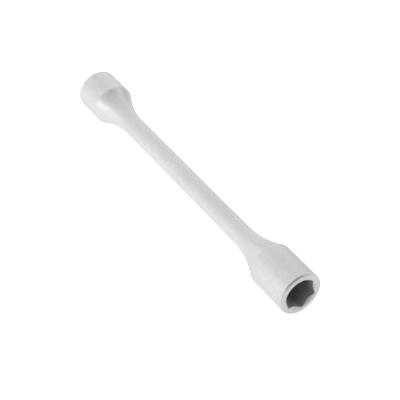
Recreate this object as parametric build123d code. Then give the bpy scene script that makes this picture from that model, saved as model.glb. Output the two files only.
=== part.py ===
from build123d import *

import os
from math import acos, degrees, radians, sin, sqrt, tan

# A torque-limiting wheel-nut bar: a six-point socket and a square-drive head, joined by a thin
# torsion shank. It lies along X with the socket's mouth at +X, and rests on its two round heads.
# All lengths are in millimetres and all angles in degrees.

# ---- driving dimensions ----------------------------------------------------------------------
OVERALL_LENGTH = 245.0
HEAD_DIAMETER = 29.0  # both heads are turned to one size
SHANK_DIAMETER = 13.6
SOCKET_HEAD_LENGTH = 30.3  # mouth to shoulder
DRIVE_HEAD_LENGTH = 22.6  # drive face to shoulder
DRIVE_FLARE_RADIUS = 60.0  # hollow arc from the shank out towards the drive head
DRIVE_CROWN_RADIUS = 0.5  # its shoulder is left nearly sharp
SOCKET_FLARE_RADIUS = 66.0
SOCKET_CROWN_RADIUS = 5.0  # its shoulder is well rounded

HEX_SIZE = 19.0  # nominal wheel nut, across flats
HEX_CLEARANCE = 0.15
HEX_CORNER_ROUND = 0.4
HEX_DEPTH = 20.0
HEX_TURN = 9.0  # roll of the hex's flats against the square's, which are broached separately
LEAD_IN_RADIUS = 10.86  # mouth of the 45 degree lead-in, just inside the hex's corners
STUD_RELIEF_DIAMETER = 16.0
STUD_RELIEF_DEPTH = 23.5  # from the mouth to the end of the straight bore
NOSE_BEVEL_LENGTH = 0.75
NOSE_BEVEL_RISE = 1.1

SQUARE_SIZE = 12.7  # 1/2 in drive
SQUARE_CLEARANCE = 0.15
SQUARE_CORNER_ROUND = 0.8
SQUARE_DEPTH = 16.0
SQUARE_LEAD_IN = 0.7
DETENT_BALL_RADIUS = 3.0
DETENT_SINK = 0.9  # how far each detent dimple goes into its flat
DETENT_STATION = 8.0  # dimple centre, from the drive face
DRIVE_EDGE_BEVEL = 0.5

DRILL_POINT = 130.0  # included angle at the bottom of both blind bores
EDGE_ROUND = 0.2  # what the coat and the tumbling leave on turned edges

# ---- what follows from them --------------------------------------------------------------------
HEAD_RADIUS = HEAD_DIAMETER / 2
SHANK_RADIUS = SHANK_DIAMETER / 2
AXIS_HEIGHT = HEAD_RADIUS  # the heads rest on z = 0

DRIVE_FACE = -OVERALL_LENGTH / 2
SOCKET_MOUTH = OVERALL_LENGTH / 2
DRIVE_SHOULDER = DRIVE_FACE + DRIVE_HEAD_LENGTH
SOCKET_SHOULDER = SOCKET_MOUTH - SOCKET_HEAD_LENGTH

HEX_ACROSS_FLATS = HEX_SIZE + HEX_CLEARANCE
SQUARE_ACROSS_FLATS = SQUARE_SIZE + SQUARE_CLEARANCE


# ---- shared shapes -----------------------------------------------------------------------------
def turned(*edges):
    """A solid turned about the X axis. The edges run from the axis out and back to the axis."""
    outline = Curve() + list(edges) + Line(edges[-1] @ 1, edges[0] @ 0)
    return revolve(make_face(outline), Axis.X)


def broached(section, start, depth):
    """A prism of a section drawn in the YZ plane, from x = start along +X for a depth."""
    plane = Plane(origin=(start, 0, 0), x_dir=(0, 1, 0), z_dir=(1, 0, 0))
    return extrude(plane * section, depth)


def blind_bore(mouth, into, radius, depth):
    """A drilled hole with a conical bottom. It opens at x = mouth and goes in along into, +1 or -1."""
    bottom = mouth + into * depth
    tip = bottom + into * radius / tan(radians(DRILL_POINT / 2))
    return turned(
        Line((mouth, 0), (mouth, radius)),
        Line((mouth, radius), (bottom, radius)),
        Line((bottom, radius), (tip, 0)),
    )


def lead_in(mouth, into, radius):
    """A 45 degree countersink of the given radius at x = mouth, run down to the axis."""
    return turned(
        Line((mouth, 0), (mouth, radius)),
        Line((mouth, radius), (mouth + into * radius, 0)),
    )


def flare(shoulder, into, hollow_radius, crown_radius):
    """A hollow arc and the crown it ends in. They join the shank to a shoulder at the head's radius.

    They are tangent to each other, to the shank and to the head, so both turn through one angle.
    into is the way from the shoulder to the shank's middle, +1 or -1.
    """
    turn = acos(1 - (HEAD_RADIUS - SHANK_RADIUS) / (hollow_radius + crown_radius))
    root = shoulder + into * (hollow_radius + crown_radius) * sin(turn)
    hollow = JernArc((root, SHANK_RADIUS), (-into, 0), hollow_radius, -into * degrees(turn))
    crown = JernArc(hollow @ 1, hollow % 1, crown_radius, into * degrees(turn))
    return hollow, crown


def rounded_rims(solid, stations, radius):
    """Rounds the outermost turned edge at each station along X."""
    rims = [
        solid.edges().filter_by(GeomType.CIRCLE).filter_by_position(Axis.X, x - 0.01, x + 0.01)
        .sort_by(SortBy.RADIUS)[-1]
        for x in stations
    ]
    return fillet(rims, radius)


def set_on_heads(solid):
    """Lifts a solid modelled about the X axis, so that the heads rest on z = 0."""
    return Pos(0, 0, AXIS_HEIGHT) * solid


# ---- the drive head ----------------------------------------------------------------------------
def detent_dimples():
    """One ball dimple in the middle of each flat of the square."""
    centre = SQUARE_ACROSS_FLATS / 2 + DETENT_SINK - DETENT_BALL_RADIUS
    return [
        Pos(DRIVE_FACE + DETENT_STATION, 0, 0)
        * Rot(flat * 90, 0, 0)
        * Pos(0, centre, 0)
        * Sphere(DETENT_BALL_RADIUS)
        for flat in range(4)
    ]


def make_drive_head():
    """The round head with the female square for the gun's anvil."""
    rim = HEAD_RADIUS - DRIVE_EDGE_BEVEL
    blank = turned(
        Line((DRIVE_FACE, 0), (DRIVE_FACE, rim)),
        Line((DRIVE_FACE, rim), (DRIVE_FACE + DRIVE_EDGE_BEVEL, HEAD_RADIUS)),
        Line((DRIVE_FACE + DRIVE_EDGE_BEVEL, HEAD_RADIUS), (DRIVE_SHOULDER, HEAD_RADIUS)),
        Line((DRIVE_SHOULDER, HEAD_RADIUS), (DRIVE_SHOULDER, 0)),
    )
    blank = rounded_rims(blank, [DRIVE_FACE, DRIVE_FACE + DRIVE_EDGE_BEVEL], EDGE_ROUND)
    square = RectangleRounded(SQUARE_ACROSS_FLATS, SQUARE_ACROSS_FLATS, SQUARE_CORNER_ROUND)
    corner = SQUARE_ACROSS_FLATS / sqrt(2) - SQUARE_CORNER_ROUND * (sqrt(2) - 1)
    head = blank - broached(square, DRIVE_FACE, SQUARE_DEPTH)
    head -= blind_bore(DRIVE_FACE, 1, SQUARE_ACROSS_FLATS / 2, SQUARE_DEPTH + EDGE_ROUND)
    head -= lead_in(DRIVE_FACE, 1, corner + SQUARE_LEAD_IN)
    for dimple in detent_dimples():
        head -= dimple
    return head


# ---- the torsion shank -------------------------------------------------------------------------
def make_torsion_shank():
    """The shank that winds up under load, with a flare out to each shoulder."""
    drive_hollow, drive_crown = flare(DRIVE_SHOULDER, 1, DRIVE_FLARE_RADIUS, DRIVE_CROWN_RADIUS)
    socket_hollow, socket_crown = flare(
        SOCKET_SHOULDER, -1, SOCKET_FLARE_RADIUS, SOCKET_CROWN_RADIUS
    )
    return turned(
        Line((DRIVE_SHOULDER, 0), (DRIVE_SHOULDER, HEAD_RADIUS)),
        drive_crown,
        drive_hollow,
        Line(drive_hollow @ 0, socket_hollow @ 0),
        socket_hollow,
        socket_crown,
        Line((SOCKET_SHOULDER, HEAD_RADIUS), (SOCKET_SHOULDER, 0)),
    )


# ---- the socket head ---------------------------------------------------------------------------
def make_socket_head():
    """The thin-walled six-point socket, with a relief behind the hex for the wheel stud."""
    bevel_start = SOCKET_MOUTH - NOSE_BEVEL_LENGTH
    rim = HEAD_RADIUS - NOSE_BEVEL_RISE
    blank = turned(
        Line((SOCKET_SHOULDER, 0), (SOCKET_SHOULDER, HEAD_RADIUS)),
        Line((SOCKET_SHOULDER, HEAD_RADIUS), (bevel_start, HEAD_RADIUS)),
        Line((bevel_start, HEAD_RADIUS), (SOCKET_MOUTH, rim)),
        Line((SOCKET_MOUTH, rim), (SOCKET_MOUTH, 0)),
    )
    blank = rounded_rims(blank, [bevel_start, SOCKET_MOUTH], EDGE_ROUND)
    hexagon = RegularPolygon(HEX_ACROSS_FLATS / 2, 6, major_radius=False, rotation=HEX_TURN + 30)
    hexagon = fillet(hexagon.vertices(), HEX_CORNER_ROUND)
    head = blank - broached(hexagon, SOCKET_MOUTH - HEX_DEPTH, HEX_DEPTH)
    head -= blind_bore(SOCKET_MOUTH, -1, STUD_RELIEF_DIAMETER / 2, STUD_RELIEF_DEPTH)
    head -= lead_in(SOCKET_MOUTH, -1, LEAD_IN_RADIUS)
    return head


# ---- files -------------------------------------------------------------------------------------
NODES = {
    "drive_head": make_drive_head,
    "torsion_shank": make_torsion_shank,
    "socket_head": make_socket_head,
}

os.makedirs("parts", exist_ok=True)
for name, make in NODES.items():
    export_step(set_on_heads(make()), f"parts/{name}.step")
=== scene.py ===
from math import cos, pi, radians, sin, tan

import bpy
from mathutils import Matrix, Vector


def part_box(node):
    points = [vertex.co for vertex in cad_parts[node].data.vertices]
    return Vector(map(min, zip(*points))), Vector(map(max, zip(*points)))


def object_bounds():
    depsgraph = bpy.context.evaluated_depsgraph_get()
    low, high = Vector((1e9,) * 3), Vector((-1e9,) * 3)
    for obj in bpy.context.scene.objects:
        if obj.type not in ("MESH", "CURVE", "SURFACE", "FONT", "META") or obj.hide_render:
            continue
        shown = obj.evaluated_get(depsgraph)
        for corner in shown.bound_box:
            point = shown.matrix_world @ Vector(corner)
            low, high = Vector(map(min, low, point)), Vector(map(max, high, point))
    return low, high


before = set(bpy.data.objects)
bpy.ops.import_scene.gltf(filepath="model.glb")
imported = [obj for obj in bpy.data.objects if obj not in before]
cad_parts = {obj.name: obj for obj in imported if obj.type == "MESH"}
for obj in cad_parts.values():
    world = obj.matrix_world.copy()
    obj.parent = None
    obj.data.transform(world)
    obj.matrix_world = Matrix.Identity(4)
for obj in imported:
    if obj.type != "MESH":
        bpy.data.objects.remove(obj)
CAD_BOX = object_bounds()

# ---- places from the frame, in metres ----------------------------------------------------------
HEAD_RADIUS = (CAD_BOX[1].z - CAD_BOX[0].z) / 2
AXIS_HEIGHT = CAD_BOX[0].z + HEAD_RADIUS
SOCKET_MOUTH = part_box("socket_head")[1].x
DRIVE_FACE, DRIVE_SHOULDER = (corner.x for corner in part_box("drive_head"))

# Radius of each hole's 45 degree lead-in, at the hole's mouth. The coat ends at its inner edge.
HEX_LEAD_IN = 0.01086
SQUARE_LEAD_IN = 0.00946

# ---- the finish --------------------------------------------------------------------------------
# Greys are linear, from 0 for black to 1 for white.
ENAMEL_GREYS = (0.695, 0.72)
MOTTLE_GREY = 0.54
SPECK_GREY = 0.54
SCUFF_GREY = 0.50
# The grey of rubbed edges, also used for the painted shade under the drive shoulder.
RUBBED_AND_SHADED_GREY = 0.38
STEEL_GREYS = (0.28, 0.44)

ENAMEL_ROUGHNESS = (0.42, 0.50)
RUBBED_AND_SHADED_ROUGHNESS = 0.38
STEEL_ROUGHNESS = (0.34, 0.48)
ENAMEL_METALLIC = 0.4
STEEL_METALLIC = 0.5
COAT_IOR = 1.2  # low, so that the coat's far edge doesn't flash
EDGE_TINT = 0.3  # how much the metallic part still mirrors at a grazing angle

PEEL_DEPTH = 0.000012
GRAIN_DEPTH = 0.000004
BROACH_DEPTH = 0.00001
LENGTHWISE = (9, 1, 1)  # stretch of the scuffs along the tool
BROACHED = (60, 1, 1)  # stretch of the broach marks along a hole

RUB_REACH = 0.0009  # along the tool, from the middle of a rubbed edge
PATCH_SIZE = 0.0012


# ---- node helpers ------------------------------------------------------------------------------
class Nodes:
    """A small builder for one material's node tree."""

    def __init__(self, name):
        self.material = bpy.data.materials.new(name)
        self.material.use_nodes = True
        self.tree = self.material.node_tree
        self.shader = self.tree.nodes["Principled BSDF"]
        self.position = self.add("ShaderNodeTexCoord").outputs["Object"]
        split = self.add("ShaderNodeSeparateXYZ")
        self.link(self.position, split.inputs[0])
        self.x = split.outputs["X"]
        self.y = split.outputs["Y"]
        self.height = self.math("SUBTRACT", split.outputs["Z"], AXIS_HEIGHT)
        squares = [self.math("MULTIPLY", side, side) for side in (self.y, self.height)]
        self.radius = self.math("SQRT", self.math("ADD", *squares))

    def add(self, kind, **settings):
        node = self.tree.nodes.new(kind)
        for key, value in settings.items():
            setattr(node, key, value)
        return node

    def link(self, source, target):
        if isinstance(source, bpy.types.NodeSocket):
            self.tree.links.new(source, target)
        else:
            target.default_value = source

    def math(self, operation, a, b=0.0):
        node = self.add("ShaderNodeMath", operation=operation)
        self.link(a, node.inputs[0])
        self.link(b, node.inputs[1])
        return node.outputs[0]

    def ramp(self, value, low, high):
        """0 where value is at low, 1 where it is at high, smooth between them."""
        node = self.add("ShaderNodeMapRange", interpolation_type="SMOOTHSTEP")
        self.link(value, node.inputs["Value"])
        node.inputs["From Min"].default_value = low
        node.inputs["From Max"].default_value = high
        return node.outputs["Result"]

    def near(self, value, centre, half_width):
        """1 where value is at centre, falling to 0 at half_width from it."""
        away = self.math("ABSOLUTE", self.math("SUBTRACT", value, centre))
        return self.ramp(away, half_width, 0.0)

    def towards(self, roll, half_angle):
        """1 on the side at an angle from +Y towards +Z about the axis, 0 at half_angle from it."""
        across = self.math("MULTIPLY", self.y, cos(radians(roll)))
        along = self.math("ADD", across, self.math("MULTIPLY", self.height, sin(radians(roll))))
        return self.ramp(self.math("DIVIDE", along, self.radius), cos(radians(half_angle)), 1.0)

    def noise(self, size, detail, stretch=(1, 1, 1)):
        """Noise from 0 to 1. Its grain is about size metres, times stretch along each axis."""
        mapping = self.add("ShaderNodeMapping")
        mapping.inputs["Scale"].default_value = [1 / (size * s) for s in stretch]
        self.link(self.position, mapping.inputs["Vector"])
        node = self.add("ShaderNodeTexNoise")
        node.inputs["Scale"].default_value = 1.0
        node.inputs["Detail"].default_value = detail
        self.link(mapping.outputs[0], node.inputs["Vector"])
        return node.outputs["Fac"]

    def mix_colour(self, factor, a, b):
        node = self.add("ShaderNodeMix", data_type="RGBA")
        self.link(factor, node.inputs["Factor"])
        self.link(a, node.inputs[6])
        self.link(b, node.inputs[7])
        return node.outputs[2]

    def stain(self, colour, noise, low, high, strength, shade):
        """The colour, mixed towards a grey where the noise is high, by strength at the most."""
        amount = self.math("MULTIPLY", self.ramp(noise, low, high), strength)
        return self.mix_colour(amount, colour, grey(shade))

    def mix_value(self, factor, a, b):
        node = self.add("ShaderNodeMix", data_type="FLOAT")
        self.link(factor, node.inputs["Factor"])
        self.link(a, node.inputs[2])
        self.link(b, node.inputs[3])
        return node.outputs[0]

    def bump(self, layers):
        """Chains bumps; each layer is (height socket, depth in metres)."""
        normal = None
        for height, depth in layers:
            node = self.add("ShaderNodeBump")
            node.inputs["Strength"].default_value = 1.0
            node.inputs["Distance"].default_value = depth
            self.link(height, node.inputs["Height"])
            if normal is not None:
                self.link(normal, node.inputs["Normal"])
            normal = node.outputs[0]
        return normal


def grey(value):
    return (value, value, value, 1.0)


# ---- where the coat ends -----------------------------------------------------------------------
def depth_in_socket(n):
    return n.math("SUBTRACT", SOCKET_MOUTH, n.x)


def depth_in_drive(n):
    return n.math("SUBTRACT", n.x, DRIVE_FACE)


def inside_hole(n, depth, lead_in):
    """1 on the bare walls of a hole, past the slightly ragged inner edge of its lead-in."""
    ragged = n.math("MULTIPLY", n.math("SUBTRACT", n.noise(0.0009, 3.0), 0.5), 0.0003)
    reach = n.math("ADD", n.math("ADD", depth, n.radius), ragged)
    past_cone = n.ramp(reach, lead_in + 0.00005, lead_in + 0.0004)
    in_bore = n.ramp(n.radius, lead_in + 0.0006, lead_in + 0.0003)
    off_face = n.ramp(depth, 0.00002, 0.00008)
    return n.math("MULTIPLY", n.math("MULTIPLY", past_cone, in_bore), off_face)


def overspray_and_mouth_light(n, depth):
    """How much of the coat has drifted into a hole, together with painted light that fades from
    the mouth inwards: most near its mouth, none past 10 mm.
    """
    drift = n.math("ADD", depth, n.math("MULTIPLY", n.noise(0.0025, 3.0), 0.002))
    return n.math("MULTIPLY", n.ramp(drift, 0.011, 0.0015), 0.75)


# ---- wear and painted shade --------------------------------------------------------------------
def patchy(n):
    """0 to 1 in patches."""
    return n.ramp(n.noise(PATCH_SIZE, 3.0), 0.42, 0.66)


def on_rim(n):
    """1 at a head's outer edge, 0 from 1.2 mm inside it."""
    return n.ramp(n.radius, HEAD_RADIUS - 0.0012, HEAD_RADIUS - 0.0004)


def along_edge(n, station):
    """1 along a head's outer edge, at a station on the tool's axis."""
    return n.math("MULTIPLY", n.near(n.x, station, RUB_REACH), on_rim(n))


def nose_rub(n):
    """The nose bevel is rubbed all round in patches, and darkened most on one side, at 112 degrees
    from +Y towards +Z.
    """
    darker_side = n.math("MULTIPLY", n.towards(112, 40), 0.7)
    amount = n.math("ADD", n.math("MULTIPLY", patchy(n), 0.35), darker_side)
    return n.math("MULTIPLY", along_edge(n, SOCKET_MOUTH - 0.0006), amount)


def drive_rub(n):
    """Chips and rubs along the edge of the drive face."""
    return n.math("MULTIPLY", n.math("MULTIPLY", along_edge(n, DRIVE_FACE), patchy(n)), 0.7)


def painted_shade_under_shoulder(n):
    """Painted shade in the flare just under the drive head's shoulder, on one side."""
    band = n.near(n.x, DRIVE_SHOULDER + 0.0025, 0.0045)
    return n.math("MULTIPLY", n.math("MULTIPLY", band, n.towards(93, 20)), 0.3)


# ---- the materials -----------------------------------------------------------------------------
def coat(name, rubs_and_shades, depth=None, lead_in=None):
    """A satin silver-grey enamel, with rubbed edges and painted shade where the given functions
    say, one function for each.

    depth is a function that gives the distance into the hole; its walls are bare dark steel.
    """
    n = Nodes(name)
    cloud = n.noise(0.016, 3.0)
    mottle = n.noise(0.0022, 2.0)
    speck = n.noise(0.0006, 2.0)
    peel = n.noise(0.0014, 1.0)
    grain = n.noise(0.00022, 1.0)
    scuff = n.noise(0.0005, 3.0, LENGTHWISE)
    colour = n.mix_colour(n.ramp(cloud, 0.3, 0.7), *map(grey, ENAMEL_GREYS))
    colour = n.stain(colour, mottle, 0.4, 0.7, 0.22, MOTTLE_GREY)
    colour = n.stain(colour, speck, 0.55, 0.75, 0.35, SPECK_GREY)
    colour = n.stain(colour, scuff, 0.6, 0.75, 0.35, SCUFF_GREY)
    rough = n.mix_value(cloud, *ENAMEL_ROUGHNESS)
    for rub_and_shade_of in rubs_and_shades:
        # Each mask darkens the coat towards one grey: rubbed edges, and painted shade under the
        # drive shoulder.
        rub_and_shade = rub_and_shade_of(n)
        colour = n.mix_colour(rub_and_shade, colour, grey(RUBBED_AND_SHADED_GREY))
        rough = n.mix_value(rub_and_shade, rough, RUBBED_AND_SHADED_ROUGHNESS)
    metallic = ENAMEL_METALLIC
    layers = [(peel, PEEL_DEPTH), (grain, GRAIN_DEPTH)]
    if depth is not None:
        inside = inside_hole(n, depth(n), lead_in)
        broach = n.noise(0.0004, 3.0, BROACHED)
        steel = n.mix_colour(n.ramp(broach, 0.3, 0.7), *map(grey, STEEL_GREYS))
        # Near the mouth the bare steel takes the coat's colour: drifted coat, and painted light
        # fading deeper into the hole.
        steel = n.mix_colour(overspray_and_mouth_light(n, depth(n)), steel, colour)
        colour = n.mix_colour(inside, colour, steel)
        rough = n.mix_value(inside, rough, n.mix_value(broach, *STEEL_ROUGHNESS))
        metallic = n.mix_value(inside, metallic, STEEL_METALLIC)
        layers.append((n.math("MULTIPLY", broach, inside), BROACH_DEPTH))
    n.link(colour, n.shader.inputs["Base Color"])
    n.link(rough, n.shader.inputs["Roughness"])
    n.link(metallic, n.shader.inputs["Metallic"])
    n.shader.inputs["IOR"].default_value = COAT_IOR
    n.shader.inputs["Specular Tint"].default_value = grey(EDGE_TINT)
    n.link(n.bump(layers), n.shader.inputs["Normal"])
    return n.material


def paint(node, material):
    """Gives a CAD node its material."""
    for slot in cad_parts[node].material_slots:
        slot.material = material


paint("socket_head", coat("socket_coat", [nose_rub], depth_in_socket, HEX_LEAD_IN))
paint("drive_head", coat("drive_coat", [drive_rub], depth_in_drive, SQUARE_LEAD_IN))
# The shank's coat gets painted shade in the flare under the drive head's shoulder.
paint("torsion_shank", coat("shank_coat", [painted_shade_under_shoulder]))

# ---- floor, light and camera -------------------------------------------------------------------
FLOOR_SIZE = 2.0
FLOOR_GLOW = 0.58
WORLD_GLOW = 0.3
WORLD_GLOW_SEEN = 1.1  # by the camera itself; over 1 is white
LIGHT_DISTANCE = 1.5


def direction(azimuth, elevation):
    """The unit vector towards a view's azimuth and elevation, from the tool."""
    a, e = radians(azimuth), radians(elevation)
    return Vector((sin(a) * cos(e), -cos(a) * cos(e), sin(e)))


def make_floor():
    """A plain pale floor that glows a little, as a lit table does."""
    mesh = bpy.data.meshes.new("floor")
    s = FLOOR_SIZE / 2
    mesh.from_pydata([(-s, -s, 0), (s, -s, 0), (s, s, 0), (-s, s, 0)], [], [(0, 1, 2, 3)])
    floor = bpy.data.objects.new("floor", mesh)
    bpy.context.scene.collection.objects.link(floor)
    floor.location.z = CAD_BOX[0].z
    material = bpy.data.materials.new("floor")
    material.use_nodes = True
    shader = material.node_tree.nodes["Principled BSDF"]
    shader.inputs["Base Color"].default_value = grey(0.85)
    shader.inputs["Roughness"].default_value = 0.9
    shader.inputs["Emission Color"].default_value = grey(1.0)
    shader.inputs["Emission Strength"].default_value = FLOOR_GLOW
    mesh.materials.append(material)


def softbox(name, azimuth, elevation, half_angle, brightness):
    """A round area light that looks at the tool and fills a cone of the given half angle.

    brightness is its radiance, where 1 is white paper under the same exposure.
    """
    radius = LIGHT_DISTANCE * tan(radians(half_angle))
    back = direction(azimuth, elevation)
    data = bpy.data.lights.new(name, "AREA")
    data.shape = "DISK"
    data.size = 2 * radius
    data.energy = brightness * pi * pi * radius * radius
    light = bpy.data.objects.new(name, data)
    light.location = Vector((0, 0, AXIS_HEIGHT)) + back * LIGHT_DISTANCE
    light.rotation_mode = "QUATERNION"
    light.rotation_quaternion = (-back).to_track_quat("-Z", "Y")
    light.visible_camera = False
    bpy.context.scene.collection.objects.link(light)


def make_world():
    """Dim white light from all round. The camera itself sees plain white past the floor's edge."""
    world = bpy.data.worlds.new("studio")
    world.use_nodes = True
    tree = world.node_tree
    seen = tree.nodes.new("ShaderNodeLightPath").outputs["Is Camera Ray"]
    strength = tree.nodes.new("ShaderNodeMix")
    strength.inputs[2].default_value = WORLD_GLOW
    strength.inputs[3].default_value = WORLD_GLOW_SEEN
    tree.links.new(seen, strength.inputs["Factor"])
    shade = tree.nodes["Background"]
    shade.inputs["Color"].default_value = grey(1.0)
    tree.links.new(strength.outputs[0], shade.inputs["Strength"])
    bpy.context.scene.world = world


CAMERA_AZIMUTH = 57.63
CAMERA_ELEVATION = 40.15
CAMERA_DISTANCE = 0.8333
CAMERA_LENS = 116.37
CAMERA_OFFSET = (0.00666, -0.01145)  # of the aimed point from the tool's middle, across and up


def make_camera():
    """The camera, aimed at a point beside the tool's middle."""
    back = direction(CAMERA_AZIMUTH, CAMERA_ELEVATION)
    right = direction(CAMERA_AZIMUTH + 90, 0)
    up = back.cross(right)
    target = Vector((0, 0, AXIS_HEIGHT)) + right * CAMERA_OFFSET[0] + up * CAMERA_OFFSET[1]
    data = bpy.data.cameras.new("camera")
    data.lens = CAMERA_LENS
    data.clip_start = 0.01
    camera = bpy.data.objects.new("camera", data)
    turn = Matrix((right, up, back)).transposed().to_4x4()
    camera.matrix_world = Matrix.Translation(target + back * CAMERA_DISTANCE) @ turn
    bpy.context.scene.collection.objects.link(camera)
    bpy.context.scene.camera = camera


make_floor()
make_world()
# Each light: its name, azimuth, elevation, half angle and brightness.
softbox("key", 0, 12, 12, 5.63)
softbox("side_high", 336, 30, 20, 0.78)
softbox("side_low", 320, 12, 12, 1.29)
softbox("back_high", 300, 50, 20, 0.95)
softbox("back_low", 280, 12, 12, 2.25)
softbox("far_left", 240, 30, 20, 1.2)
softbox("far_low", 220, 12, 12, 1.72)
softbox("far_high", 180, 50, 20, 1.41)
softbox("mouth_fill", 140, 12, 12, 2.28)
softbox("top", 270, 75, 20, 0.54)
make_camera()
bpy.context.scene.view_settings.view_transform = "Standard"
